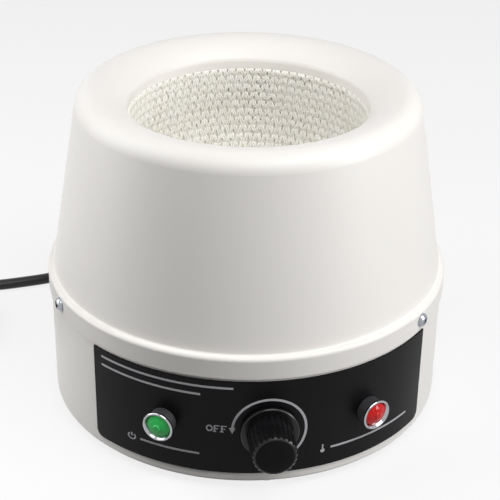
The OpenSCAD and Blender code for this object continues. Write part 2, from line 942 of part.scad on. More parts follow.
module terminal_block() color("#f2efe6") {
    well_d = block_pole / 2;
    well_h = 4;
    entry_d = 0.4 * block_pole;
    entry_l = 5;
    difference() {
        translate([-1.5 * block_pole, block_y, plate_top])
            cube([3 * block_pole, block_l, block_h]);
        for (x = block_pole * [-1, 0, 1]) {
            // screw wells on top
            for (y = [block_l / 4, 3 * block_l / 4])
                translate([x, block_y + y, plate_top + block_h - well_h])
                    cylinder(d = well_d, h = well_h + over, $fn = 32);
            // wire entries towards the board
            translate([x, block_y - over, plate_top + block_h / 2])
                rotate([-90, 0, 0])
                    cylinder(d = entry_d, h = entry_l + over, $fn = 32);
        }
    }
}

// ---- mains lead ----

module cord_gland() color("#1c1c1c") {
    out_face = base_r + seat;
    in_face = sqrt(pow(base_in, 2) - pow(gland_flange / 2, 2)) - seat;
    tip = base_r + gland_l;
    tip_r = cord_r + 1.3;
    flange_t = 2.6;
    nut_t = 2;
    // grooves that let the relief flex
    ribs = 5;
    rib_pitch = 3;
    groove_w = 1.2;
    groove_z = out_face + 5;
    radial(180, cord_z)
        difference() {
            union() {
                translate([0, 0, in_face - nut_t])
                    cylinder(d = gland_flange, h = nut_t);
                translate([0, 0, in_face - over])
                    cylinder(d = gland_neck, h = out_face - in_face + 2 * over);
                translate([0, 0, out_face])
                    cylinder(d = gland_flange, h = flange_t);
                translate([0, 0, out_face])
                    cylinder(r1 = gland_neck / 2, r2 = tip_r, h = tip - out_face);
            }
            translate([0, 0, in_face - nut_t - over])
                cylinder(d = gland_bore, h = tip - in_face + nut_t + 2 * over);
            for (i = [0 : ribs - 1])
                translate([0, 0, groove_z + i * rib_pitch])
                    difference() {
                        cylinder(d = gland_flange, h = groove_w);
                        translate([0, 0, -over])
                            cylinder(d = gland_bore + 1.8, h = 4 * over);
                    }
        }
}

module mains_cord() color("#1a1a1a") {
    inner_end = [[0, block_y + block_l, cord_z], [0, base_in, cord_z]];
    tube(concat(inner_end, lead_route), cord_r, 12);
}

module cord_coil() color("#1a1a1a") {
    width = turn_cols * cord_d;
    height = turn_rows * cord_d;
    inner = coil_d / 2 - width / 2;
    translate([coil_x, coil_y, 0])
        rotate_extrude() {
            translate([inner + cord_r, 0])
                square([width - cord_d, height]);
            translate([inner, cord_r])
                square([width, height - cord_d]);
            for (x = [inner + cord_r, inner + width - cord_r])
                for (z = [cord_r, height - cord_r])
                    translate([x, z])
                        circle(r = cord_r, $fn = 48);
        }
}

module plug_lead() color("#1a1a1a") {
    tube(plug_route, cord_r, 12);
}

module plug_body() color("#161616") {
    body_w = 34;
    body_h = 2 * plug_z;
    nose_d = 13;
    lap = 1;
    side_x = (body_w - body_h) / 2;
    translate([plug_x, plug_y, plug_z])
        rotate([90, 0, 0]) {
            // relief round the lead
            hull() {
                cylinder(d = cord_d + 3, h = lap, $fn = 32);
                translate([0, 0, plug_relief_l])
                    cylinder(d = nose_d, h = lap, $fn = 32);
            }
            // grip that widens to the body
            hull() {
                translate([0, 0, plug_relief_l])
                    cylinder(d = nose_d, h = lap, $fn = 32);
                for (x = [-side_x, side_x])
                    translate([x, 0, plug_relief_l + plug_grip_l])
                        cylinder(d = body_h - 3, h = lap, $fn = 32);
            }
            hull()
                for (x = [-side_x, side_x])
                    translate([x, 0, plug_relief_l + plug_grip_l])
                        cylinder(d = body_h, h = plug_body_l, $fn = 48);
        }
}

module plug_pins() color("#c9a44a") {
    face_y = plug_y - plug_relief_l - plug_grip_l - plug_body_l;
    blade_w = 6.3;
    blade_t = 1.5;
    earth_l = 19;
    live_l = 16;
    earth_y = -9.5;
    live_x = 7.9;
    live_y = 3.4;
    splay = 30;
    translate([plug_x, face_y, plug_z])
        rotate([90, 0, 0]) {
            translate([-blade_t / 2, earth_y, 0])
                cube([blade_t, blade_w, earth_l]);
            for (side = [-1, 1])
                translate([side * live_x, live_y, 0])
                    rotate([0, 0, side * splay])
                        translate([-blade_t / 2, -blade_w / 2, 0])
                            cube([blade_t, blade_w, live_l]);
        }
}

upper_shell();
base_shell();
bottom_plate();
bottom_screws();
feet();
foot_screws();
foot_nuts();
control_panel();
knob();
pot_shaft();
pot_body();
pot_nut();
pot_washer();
lamp_bezels();
green_lens();
red_lens();
lamp_housings();
lamp_nuts();
lamp_bulbs();
shell_screws();
shell_brackets();
shell_nuts();
partition_plate();
insulation_block();
heating_wire();
woven_liner();
liner_band();
control_board();
board_standoffs();
board_screws();
heat_sink();
triac();
capacitor();
terminal_block();
cord_gland();
mains_cord();
cord_coil();
plug_lead();
plug_body();
plug_pins();
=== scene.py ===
"""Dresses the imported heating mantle: knitted bowl, pilot lamps, printed panel and mains lead.

Lengths are in millimetres unless a comment says otherwise; mm() turns them into metres where
a mesh, a light or the camera is made. +Z is up and the control panel faces -Y.
"""
import logging
import random
from dataclasses import dataclass, replace
from functools import cache
from math import cos, hypot, pi, radians, sin, sqrt
from typing import Iterable, Optional, Sequence

import bpy
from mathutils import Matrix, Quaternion, Vector


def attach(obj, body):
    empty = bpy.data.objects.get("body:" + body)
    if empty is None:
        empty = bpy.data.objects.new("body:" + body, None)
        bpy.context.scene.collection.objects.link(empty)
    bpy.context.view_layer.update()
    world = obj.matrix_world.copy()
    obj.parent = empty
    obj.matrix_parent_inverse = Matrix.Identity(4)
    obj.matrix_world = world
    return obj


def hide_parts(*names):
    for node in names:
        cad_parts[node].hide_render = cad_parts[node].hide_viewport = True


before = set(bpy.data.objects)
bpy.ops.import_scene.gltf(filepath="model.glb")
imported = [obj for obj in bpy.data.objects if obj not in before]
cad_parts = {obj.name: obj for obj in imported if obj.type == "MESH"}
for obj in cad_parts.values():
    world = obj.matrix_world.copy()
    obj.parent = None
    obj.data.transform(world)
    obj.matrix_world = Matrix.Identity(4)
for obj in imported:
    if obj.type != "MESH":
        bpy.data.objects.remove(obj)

log = logging.getLogger("heating_mantle")

Piece = bpy.types.Object
Socket = bpy.types.NodeSocket
Tree = bpy.types.NodeTree
Pair = tuple[float, float]
Point = tuple[float, float, float]
CASE = "case"
KNOB = "knob"
SEAM = 0.002  # mm within which the corners of a seam are merged


def mm(*lengths: float) -> Vector | float:
    """Turns millimetres into metres.

    Args:
        lengths: One length, or the three parts of a place.

    Returns:
        The length as a number, or the place as a vector.
    """
    scaled = [length * 0.001 for length in lengths]
    return scaled[0] if len(scaled) == 1 else Vector(scaled)


# ---------------- materials

def linear(code: str) -> tuple[float, float, float, float]:
    """Turns an sRGB hex colour into the linear one that a shader takes.

    Args:
        code: Six hex digits, such as "f2f0ec".

    Returns:
        Red, green, blue and an alpha of one.
    """
    parts = [int(code[i:i + 2], 16) / 255 for i in (0, 2, 4)]
    lin = [c / 12.92 if c <= 0.04045 else ((c + 0.055) / 1.055) ** 2.4 for c in parts]
    return (*lin, 1.0)


def add_node(
    tree: Tree,
    kind: str,
    values: Optional[dict] = None,
    links: Optional[dict] = None,
    **settings: object,
) -> bpy.types.Node:
    """Adds a node with its settings and links.

    Args:
        tree: The material's or the world's node tree.
        kind: The node's type without its "ShaderNode" front.
        values: Input name or number to a plain value.
        links: Input name or number to the output socket that feeds it.
        settings: Attributes of the node itself.

    Returns:
        The new node.
    """
    made = tree.nodes.new("ShaderNode" + kind)
    for name, value in settings.items():
        setattr(made, name, value)
    for name, value in (values or {}).items():
        made.inputs[name].default_value = value
    for name, socket in (links or {}).items():
        tree.links.new(socket, made.inputs[name])
    return made


@dataclass(frozen=True)
class Canvas:
    """A material in the making, which a pattern is laid on."""

    tree: Tree
    shader: bpy.types.Node
    place: Socket  # the coordinates in metres


@dataclass(frozen=True)
class Finish:
    """A surface with a fine all-over grain, such as moulded plastic.

    The grain and mottle sizes are real lengths in millimetres; depth is the height of the
    grain. The shader values are typical of the material, matched to the object.
    """

    name: str
    colour: str
    roughness: float
    metallic: float = 0.0
    specular: float = 0.5
    coat: float = 0.0
    coat_roughness: float = 0.1
    grain: float = 0.6
    depth: float = 0.01
    mottle: float = 14.0
    mottle_share: float = 0.06
    roughness_spread: float = 0.06

    @cache
    def build(self) -> bpy.types.Material:
        """Makes the material once and hands the same one out after that.

        Returns:
            The Blender material.
        """
        material = bpy.data.materials.new(self.name)
        material.use_nodes = True
        tree = material.node_tree
        tree.nodes.clear()
        shader = add_node(tree, "BsdfPrincipled", {
            "Base Color": linear(self.colour),
            "Roughness": self.roughness,
            "Metallic": self.metallic,
            "Specular IOR Level": self.specular,
            "Coat Weight": self.coat,
            "Coat Roughness": self.coat_roughness,
        })
        add_node(tree, "OutputMaterial", links={"Surface": shader.outputs["BSDF"]})
        place = add_node(tree, "TexCoord").outputs["Object"]
        self.pattern(Canvas(tree, shader, place))
        return material

    def pattern(self, canvas: Canvas) -> None:
        """Lays the surface's colour, roughness and relief over the plain shader.

        Args:
            canvas: The material.
        """
        self.vary(canvas, self.noise(canvas, self.mottle, detail=3.0))
        self.relief(canvas, self.noise(canvas, self.grain))

    def noise(self, canvas: Canvas, size: float, detail: float = 2.0) -> Socket:
        """Adds a cloudy pattern whose lumps are about one size.

        Args:
            canvas: The material.
            size: Width of a lump.
            detail: How many finer layers are added.

        Returns:
            The pattern's value, from 0 to 1.
        """
        made = add_node(canvas.tree, "TexNoise", {"Scale": 1 / mm(size), "Detail": detail},
                        {"Vector": canvas.place})
        return made.outputs["Fac"]

    def tone(
        self, canvas: Canvas, low: Sequence[float], high: Sequence[float],
        value: Socket,
    ) -> None:
        """Colours the surface between two tones.

        Args:
            canvas: The material.
            low: The linear colour where the pattern is 0.
            high: The linear colour where the pattern is 1.
            value: The pattern, from 0 to 1.
        """
        blend = add_node(canvas.tree, "Mix", {6: low, 7: high}, {0: value},
                         data_type="RGBA", clamp_factor=True)
        canvas.tree.links.new(blend.outputs[2], canvas.shader.inputs["Base Color"])

    def vary(self, canvas: Canvas, value: Socket) -> None:
        """Lets a pattern shift the colour and the roughness a little.

        Args:
            canvas: The material.
            value: The pattern, from 0 to 1.
        """
        low, high = (
            (*[min(1.0, c * (1 + share)) for c in linear(self.colour)[:3]], 1.0)
            for share in (-self.mottle_share, self.mottle_share))
        self.tone(canvas, low, high, value)
        spread = add_node(canvas.tree, "MapRange", {
            "To Min": max(0.02, self.roughness - self.roughness_spread),
            "To Max": min(1.0, self.roughness + self.roughness_spread),
        }, {"Value": value})
        canvas.tree.links.new(spread.outputs["Result"], canvas.shader.inputs["Roughness"])

    def relief(self, canvas: Canvas, value: Socket) -> None:
        """Presses a pattern into the surface as bump, as deep as the finish says.

        Args:
            canvas: The material.
            value: The pattern, from 0 to 1.
        """
        bump = add_node(canvas.tree, "Bump", {"Strength": 1.0, "Distance": mm(self.depth)},
                        {"Height": value})
        canvas.tree.links.new(bump.outputs["Normal"], canvas.shader.inputs["Normal"])


@dataclass(frozen=True)
class Spangled(Finish):
    """Galvanised sheet: flat crystals that each shine a little differently."""

    crystal: float = 3.0

    def pattern(self, canvas: Canvas) -> None:
        """Lays crystals of the zinc over the sheet, in colour, gloss and relief.

        Args:
            canvas: The material.
        """
        cells = add_node(canvas.tree, "TexVoronoi", {"Scale": 1 / mm(self.crystal)},
                         {"Vector": canvas.place})
        shades = add_node(canvas.tree, "SeparateColor", links={"Color": cells.outputs["Color"]})
        self.vary(canvas, shades.outputs["Red"])
        self.relief(canvas, self.noise(canvas, self.grain))


@dataclass(frozen=True)
class Drawn(Finish):
    """Metal with fine marks that run one way, from turning or drawing."""

    metallic: float = 1.0
    grain: float = 0.4
    depth: float = 0.002
    stretch: Point = (1.0, 1.0, 0.05)

    def pattern(self, canvas: Canvas) -> None:
        """Draws the marks out along one axis and lets them set gloss and relief.

        Args:
            canvas: The material.
        """
        drawn = add_node(
            canvas.tree, "Mapping", {"Scale": self.stretch}, {"Vector": canvas.place})
        along = replace(canvas, place=drawn.outputs["Vector"])
        marks = self.noise(along, self.grain, detail=4.0)
        self.vary(canvas, marks)
        self.relief(canvas, marks)


@dataclass(frozen=True)
class Yarn(Finish):
    """Glass yarn: fine bright filaments with a silky sheen and a cream size on them."""

    shade: str = "b9b4a2"
    filament: float = 0.35
    sheen: float = 0.3
    sheen_roughness: float = 0.4
    span: Pair = (0.7, 1.3)  # sums of both patterns at the shade and the colour

    def pattern(self, canvas: Canvas) -> None:
        """Mixes brighter and duller filaments and lifts each a little.

        Args:
            canvas: The material.
        """
        canvas.shader.inputs["Sheen Weight"].default_value = self.sheen
        canvas.shader.inputs["Sheen Roughness"].default_value = self.sheen_roughness
        strands = self.noise(canvas, self.filament, detail=3.0)
        patches = self.noise(canvas, self.mottle)
        both = add_node(canvas.tree, "Math", links={0: strands, 1: patches}, operation="ADD")
        ramp = add_node(canvas.tree, "MapRange", {"From Min": self.span[0],
                        "From Max": self.span[1]}, {"Value": both.outputs[0]})
        self.tone(canvas, linear(self.shade), linear(self.colour), ramp.outputs["Result"])
        self.relief(canvas, strands)


@dataclass(frozen=True)
class Tinted(Finish):
    """Clear coloured plastic: light passes, and the tint deepens in the thick parts."""

    clear: float = 0.5
    # painted glow: emission strength in the plastic's own colour, standing in for light bounced
    # inside an unlit lens
    painted_glow: float = 0.0

    def pattern(self, canvas: Canvas) -> None:
        """Lets light through, leaves a faint flow pattern from moulding, and gives the lens a
        painted glow: emission in its own colour that stands in for light bounced inside it.

        Args:
            canvas: The material.
        """
        canvas.shader.inputs["Transmission Weight"].default_value = self.clear
        # painted glow: the lens shines in its own colour though no lamp behind it is lit
        canvas.shader.inputs["Emission Color"].default_value = linear(self.colour)
        canvas.shader.inputs["Emission Strength"].default_value = self.painted_glow
        self.vary(canvas, self.noise(canvas, self.mottle))


# Steel sheet, polyester powder coat, oven cured: satin white with a faint orange peel.
POWDER_COAT = Finish("satin white powder coat", "f6f3ef", 0.42, specular=0.45, grain=1.6,
                     depth=0.012, mottle=40.0, mottle_share=0.012, roughness_spread=0.03)
# Printed polycarbonate film on sheet: nearly matt black, with an even fine tooth.
PANEL_FILM = Finish("black printed film", "0a0a0c", 0.42, specular=0.1, grain=0.35,
                    depth=0.006, mottle=25.0, mottle_share=0.12)
# ABS, injection moulded in a polished tool: deep black gloss.
BLACK_MOULDING = Finish("glossy black ABS moulding", "0b0b0d", 0.27, specular=0.32,
                        grain=1.2, depth=0.004, mottle=6.0, mottle_share=0.15)
# Pressed cap of filled phenolic: dead black beside the glossy grip.
CAP_BLACK = Finish("matt black phenolic", "0a0a0b", 0.6, specular=0.08, grain=0.5,
                   mottle=4.0, mottle_share=0.2)
# Nylon, injection moulded: black with a soft grey sheen along a barrel.
NYLON = Finish("satin black nylon", "2a2a2d", 0.5, specular=1.0, grain=0.7, depth=0.008,
               mottle=5.0, mottle_share=0.15)
# Nitrile rubber, compression moulded: dull black that goes grey on the edges.
RUBBER = Finish("black nitrile rubber", "1b1b1c", 0.62, grain=0.5, depth=0.02, mottle=5.0,
                mottle_share=0.2)
# Flexible PVC, extruded: smooth black jacket with a soft wide highlight.
CORD_PVC = Finish("extruded black PVC", "131314", 0.36, specular=0.4, grain=1.0, mottle=12.0,
                  mottle_share=0.15)
# Brass ring, turned and chromium plated: mirror bright.
CHROME = Drawn("bright chromium plate", "a9aaad", 0.1, depth=0.001, mottle_share=0.03,
               roughness_spread=0.03)
# Steel screw, bright nickel plated: shiny, a little duller than chrome.
NICKEL = Drawn("bright nickel plate", "bcbbb6", 0.22)
# Steel screw, zinc plated and passivated: bright, with a cold blue-grey tint.
BLUE_ZINC = Drawn("passivated zinc plate", "9fa3a9", 0.2)
# Mild steel sheet, hot-dip galvanised: dull silver with small crystals.
ZINC = Spangled("galvanised steel sheet", "b7babc", 0.42, metallic=1.0, grain=0.8,
                depth=0.004, mottle_share=0.12)
# Brass, turned from bar: warm yellow with fine lathe marks.
BRASS = Drawn("turned brass", "c9a75a", 0.26, grain=0.3, mottle_share=0.08)
# Aluminium, extruded and left bare: soft grey streaks along the fins.
ALUMINIUM = Drawn("extruded aluminium", "c6c8ca", 0.36, grain=0.6, depth=0.004,
                  mottle_share=0.08)
# Glass yarn, knitted: white with a cream size, silky, in soft separate filaments.
GLASS_KNIT = Yarn("knitted glass yarn", "fefdf9", 0.3, specular=0.6, shade="f7f4ea",
                  depth=0.06, mottle=9.0)
# Woven glass cloth behind the knit: duller and darker between the stitches.
GLASS_CLOTH = Yarn("woven glass cloth", "faf8f0", 0.8, specular=0.2, shade="efecdf",
                   depth=0.05, filament=0.8, mottle=6.0)
# Braided glass sleeve over resistance wire: tan from the heat.
GLASS_SLEEVE = Yarn("braided glass sleeve", "cdbb93", 0.6, shade="9c8a63", depth=0.08,
                    filament=0.5, mottle=4.0)
# Ceramic fibre, vacuum formed: matt cream felt with short random fibres.
CERAMIC_FIBRE = Yarn("formed ceramic fibre", "efe9d8", 0.9, specular=0.1, shade="d4ccb6",
                     depth=0.25, filament=0.9, mottle=7.0)
# Acrylic lens, moulded and tinted: clear deep colour with bright facets, and a faint painted glow
# in its own colour that stands in for light bounced inside the lens.
GREEN_LENS = Tinted("green tinted acrylic", "22c15a", 0.1, specular=0.25, mottle=2.0,
                    mottle_share=0.15, clear=0.15, painted_glow=0.1)
RED_LENS = Tinted("red tinted acrylic", "d00c0a", 0.1, specular=0.2, mottle=2.0,
                  mottle_share=0.15, clear=0.15, painted_glow=0.08)
# Neon tube of clear glass with an orange gas colour.
NEON_GLASS = Tinted("neon lamp glass", "e6a070", 0.05, clear=0.8)
# FR4 board, green solder mask over copper: semi-gloss with the tracks just raised.
SOLDER_MASK = Spangled("green solder mask", "1d5a34", 0.35, coat=0.3, grain=0.5,
                       depth=0.02, mottle_share=0.2, crystal=2.4)
# Epoxy body of a power device: matt black with fine tool texture.
EPOXY = Finish("moulded black epoxy", "1d1d1e", 0.55, grain=0.4)
# Polyester film capacitor, dipped: red with a soft gloss.
CAPACITOR_RED = Finish("dipped red epoxy", "b8382c", 0.3, grain=2.5, depth=0.03, mottle=3.0)
# Polyamide terminal strip: off-white, slightly waxy.
POLYAMIDE = Finish("natural polyamide", "e9e5d8", 0.45, depth=0.008)
# Screen ink, one layer: flat light grey, thin enough to soften at its edges.
SCREEN_INK = Finish("light grey screen ink", "c2c2c6", 0.6, specular=0.2, grain=0.25,
                    depth=0.004, mottle=1.5, mottle_share=0.1)


NODE_FINISH: dict[str, Finish] = {
    "upper_shell": POWDER_COAT, "base_shell": POWDER_COAT, "bottom_plate": ZINC,
    "bottom_screws": NICKEL, "feet": RUBBER, "foot_screws": NICKEL, "foot_nuts": ZINC,
    "control_panel": PANEL_FILM, "knob": BLACK_MOULDING, "pot_shaft": BRASS,
    "pot_body": ZINC, "pot_nut": NICKEL, "pot_washer": NICKEL, "lamp_bezels": CHROME,
    "green_lens": GREEN_LENS, "red_lens": RED_LENS, "lamp_housings": NYLON,
    "lamp_nuts": ZINC, "lamp_bulbs": NEON_GLASS, "shell_screws": BLUE_ZINC,
    "shell_brackets": ZINC, "shell_nuts": ZINC, "partition_plate": ZINC,
    "insulation_block": CERAMIC_FIBRE, "heating_wire": GLASS_SLEEVE,
    "woven_liner": GLASS_CLOTH, "liner_band": ZINC, "control_board": SOLDER_MASK,
    "board_standoffs": BRASS, "board_screws": NICKEL, "heat_sink": ALUMINIUM,
    "triac": EPOXY, "capacitor": CAPACITOR_RED, "terminal_block": POLYAMIDE,
    "cord_gland": RUBBER, "mains_cord": CORD_PVC, "cord_coil": CORD_PVC,
    "plug_lead": CORD_PVC, "plug_body": CORD_PVC, "plug_pins": BRASS,
}


# ---------------- modelling

def pick(*pieces: Piece) -> None:
    """Selects pieces alone and makes the first one active.

    Args:
        pieces: The objects that the next operators act on.
    """
    bpy.ops.object.select_all(action="DESELECT")
    for piece in pieces:
        piece.select_set(True)
    bpy.context.view_layer.objects.active = pieces[0]


def settle(piece: Piece) -> Piece:
    """Puts the object's place, turn and scale into its mesh.

    Args:
        piece: The object to settle.

    Returns:
        The same object.
    """
    pick(piece)
    bpy.ops.object.transform_apply(location=True, rotation=True, scale=True)
    return piece


def join(pieces: Sequence[Piece], name: str) -> Piece:
    """Joins settled pieces into one object.

    Args:
        pieces: The objects; the first one stays.
        name: The joined object's name.

    Returns:
        The joined object.
    """
    pick(*pieces)
    bpy.ops.object.join()
    pieces[0].name = name
    return pieces[0]


def dress(
    piece: Piece, finish: Finish, body: str, replaced: Iterable[str] = (),
    smooth: Optional[float] = 40.0,
) -> Piece:
    """Gives a piece its material, its smoothness and its place in the frame.

    Args:
        piece: The finished piece.
        finish: What it is made of.
        body: The CAD body that it moves with.
        replaced: CAD nodes that it stands for.
        smooth: Edges blunter than this many degrees are shaded smooth; None for flat.

    Returns:
        The same piece.
    """
    piece.data.materials.clear()
    piece.data.materials.append(finish.build())
    if smooth is not None and piece.type == "MESH":
        pick(piece)
        bpy.ops.object.shade_smooth_by_angle(angle=radians(smooth))
    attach(piece, body)
    if replaced:
        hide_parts(*replaced)
    return piece


def modify(piece: Piece, kind: str, **settings: object) -> None:
    """Applies one modifier.

    Args:
        piece: The object that it changes.
        kind: The modifier's type.
        settings: Attributes of the modifier.
    """
    pick(piece)
    modifier = piece.modifiers.new(kind, kind)
    for name, value in settings.items():
        setattr(modifier, name, value)
    bpy.ops.object.modifier_apply(modifier=modifier.name)


def round_curve(name: str, radius: float, sides: int, caps: bool) -> Piece:
    """Starts a round curve that has no strand yet.

    Args:
        name: The object's name.
        radius: Radius of its strands.
        sides: Faces round a strand, an even number from 4.
        caps: True where the ends of a strand are closed.

    Returns:
        The curve object.
    """
    data = bpy.data.curves.new(name, "CURVE")
    data.dimensions = "3D"
    data.bevel_depth = mm(radius)
    data.bevel_resolution = (sides - 4) // 2
    data.use_fill_caps = caps
    made = bpy.data.objects.new(name, data)
    bpy.context.collection.objects.link(made)
    return made


def open_disc(name: str, corners: int, radius: float, turn: float = 0.0) -> Piece:
    """Lays a flat disc on the origin and opens it for editing.

    Args:
        name: The object's name.
        corners: Corners round its edge.
        radius: Its radius.
        turn: Its turn about +Z in radians.

    Returns:
        The disc, in edit mode and selected whole.
    """
    bpy.ops.mesh.primitive_circle_add(
        vertices=corners, radius=mm(radius), fill_type="NGON", rotation=(0, 0, turn))
    made = settle(bpy.context.object)
    made.name = name
    bpy.ops.object.mode_set(mode="EDIT")
    return made


def draw_up(rise: float) -> None:
    """Extrudes the selected face along +Z.

    Args:
        rise: How far.
    """
    bpy.ops.mesh.extrude_region_move(TRANSFORM_OT_translate={"value": mm(0, 0, rise)})


def close_up() -> None:
    """Turns every face outwards and leaves edit mode."""
    bpy.ops.mesh.select_all(action="SELECT")
    bpy.ops.mesh.normals_make_consistent(inside=False)
    bpy.ops.object.mode_set(mode="OBJECT")


def swept(
    start: Vector, moves: Iterable[Vector], steps: int, angle: float, centre: Vector,
    axis: Point
) -> Piece:
    """Draws a line out of a point and turns it about an axis.

    Args:
        start: The line's first corner, in metres.
        moves: The way from each corner to the next, in metres.
        steps: Segments of the turn.
        angle: The whole turn in radians.
        centre: A point of the axis, in metres.
        axis: The axis's direction.

    Returns:
        The turned sheet, still in edit mode, with its seam and poles merged.
    """
    bpy.ops.mesh.primitive_plane_add(size=mm(1), location=start)
    made = bpy.context.object
    bpy.ops.object.mode_set(mode="EDIT")
    bpy.ops.mesh.merge(type="CENTER")
    for move in moves:
        bpy.ops.mesh.extrude_vertices_move(TRANSFORM_OT_translate={"value": move})
    bpy.ops.mesh.select_all(action="SELECT")
    bpy.ops.mesh.spin(steps=steps, angle=angle, center=centre, axis=axis)
    bpy.ops.mesh.select_all(action="SELECT")
    bpy.ops.mesh.remove_doubles(threshold=mm(SEAM))
    return made


def spun(name: str, profile: Sequence[Pair], steps: int = 96) -> Piece:
    """Turns a profile once round the +Z axis.

    Args:
        name: The object's name.
        profile: Radius and height of each corner, from first to last.
        steps: Segments round the turn.

    Returns:
        The turned object, with its faces outwards.
    """
    moves = [mm(r1 - r0, 0, z1 - z0) for (r0, z0), (r1, z1) in zip(profile, profile[1:])]
    first = mm(profile[0][0], 0, profile[0][1])
    made = swept(first, moves, steps, 2 * pi, mm(0, 0, 0), (0, 0, 1))
    made.name = name
    close_up()
    return settle(made)


def set_out(
    piece: Piece, azimuth: float, reach: float, height: float, spin: float = 0.0
) -> Piece:
    """Turns a piece that stands on the origin outwards and sets it on the round case.

    Args:
        piece: The piece, with its outer end up.
        azimuth: Degrees from the panel's middle, towards +X.
        reach: Distance of its foot from the case's axis.
        height: Height of its middle above the bench.
        spin: Its turn about its own axis in degrees.

    Returns:
        The same piece.
    """
    turn = radians(azimuth)
    upright = Quaternion((0, 0, 1), turn) @ Quaternion((1, 0, 0), pi / 2)
    piece.rotation_mode = "QUATERNION"
    piece.rotation_quaternion = upright @ Quaternion((0, 0, 1), radians(spin))
    piece.location = mm(reach * sin(turn), -reach * cos(turn), height)
    return settle(piece)


# ---------------- sub-assemblies

@dataclass
class Studio:
    """Camera, floor and soft lights."""

    eye: Point = (-74.56, -625.30, 417.62)
    aim: Point = (1.75, -0.21, 75.33)
    roll: float = 0.90  # degrees
    focal: float = 100.4
    sensor: float = 36.0
    clip: Pair = (0.01, 20.0)  # metres
    floor_half: float = 4000.0
    floor_shade: float = 0.05  # grey that the floor throws back onto the object
    floor_pale: float = 0.9  # grey that takes the object's shadow, to the eye
    floor_white: float = 0.8  # share of plain white laid over that grey
    fill: float = 0.04  # strength of the even light from all round
    boxes_aim: Point = (0.0, 0.0, 85.0)
    # name, middle, length of side and watts of each soft box
    boxes: tuple[tuple[str, Point, float, float], ...] = (
        ("front_top_box", (80, -500, 900), 500, 2.85),
        ("right_top_box", (400, -300, 850), 400, 2.1),
        ("right_front_box", (1126, -650, 300), 500, 7.0),
        ("right_high_box", (930, -540, 900), 500, 2.5),
        ("left_box", (-650, 60, 230), 450, 1.9),
        ("left_top_box", (-520, 60, 620), 500, 1.7),
    )

    def camera(self) -> None:
        """Sets the camera up at its place, turned a little about its own axis."""
        data = bpy.data.cameras.new("camera")
        data.lens = self.focal
        data.sensor_width = self.sensor
        data.clip_start, data.clip_end = self.clip
        bpy.context.scene.camera = self.hang(data, self.eye, self.aim, self.roll)

    def hang(self, data: bpy.types.ID, place: Point, aim: Point, roll: float = 0.0) -> Piece:
        """Puts the camera or a lamp in the scene, facing a point.

        Args:
            data: The camera's or the lamp's own data.
            place: Where it is.
            aim: The point that it faces.
            roll: Its turn about its own axis in degrees.

        Returns:
            The object.
        """
        made = bpy.data.objects.new(data.name, data)
        bpy.context.collection.objects.link(made)
        facing = (mm(*aim) - mm(*place)).to_track_quat("-Z", "Y")
        made.rotation_mode = "QUATERNION"
        made.rotation_quaternion = facing @ Quaternion((0, 0, 1), radians(roll))
        made.location = mm(*place)
        return made

    def seen(self, tree: Tree) -> Socket:
        """Adds the test for rays that see the background itself.

        Args:
            tree: The floor's or the world's node tree.

        Returns:
            One for camera, glossy and transmission rays, otherwise nought.
        """
        path = add_node(tree, "LightPath")
        seen = path.outputs["Is Camera Ray"]
        for kind in ("Is Glossy Ray", "Is Transmission Ray"):
            seen = add_node(tree, "Math", links={0: seen, 1: path.outputs[kind]},
                            operation="MAXIMUM").outputs[0]
        return seen

    def floor(self) -> None:
        """Lays the plain floor, white to the eye, with the object's shadow on it."""
        bpy.ops.mesh.primitive_plane_add(size=mm(2 * self.floor_half))
        made = bpy.context.object
        made.name = "floor"
        material = bpy.data.materials.new("pale floor")
        material.use_nodes = True
        tree = material.node_tree
        tree.nodes.clear()
        seen = self.seen(tree)
        plain, pale = (
            add_node(tree, "BsdfDiffuse", {"Color": (grey, grey, grey, 1.0)})
            for grey in (self.floor_shade, self.floor_pale))
        white = add_node(tree, "Emission", {"Strength": 1.0})
        shown = add_node(tree, "MixShader", {0: self.floor_white},
                         {1: pale.outputs[0], 2: white.outputs[0]})
        mixed = add_node(
            tree, "MixShader", links={0: seen, 1: plain.outputs[0], 2: shown.outputs[0]})
        add_node(tree, "OutputMaterial", links={"Surface": mixed.outputs[0]})
        made.data.materials.append(material)

    def world(self) -> None:
        """Gives a white background and a faint even fill light."""
        world = bpy.data.worlds.new("studio")
        bpy.context.scene.world = world
        world.use_nodes = True
        tree = world.node_tree
        tree.nodes.clear()
        fill, white = (
            add_node(tree, "Background", {"Color": linear("ffffff"), "Strength": strength})
            for strength in (self.fill, 1.0))
        mixed = add_node(tree, "MixShader", links={
            0: self.seen(tree), 1: fill.outputs[0], 2: white.outputs[0]})
        add_node(tree, "OutputWorld", links={"Surface": mixed.outputs[0]})

    def light(self) -> None:
        """Hangs the soft boxes: the strongest at the right front, weaker ones above and left."""
        for name, place, size, watts in self.boxes:
            data = bpy.data.lights.new(name, "AREA")
            data.size = mm(size)
            data.energy = watts
            self.hang(data, place, self.boxes_aim).visible_camera = False


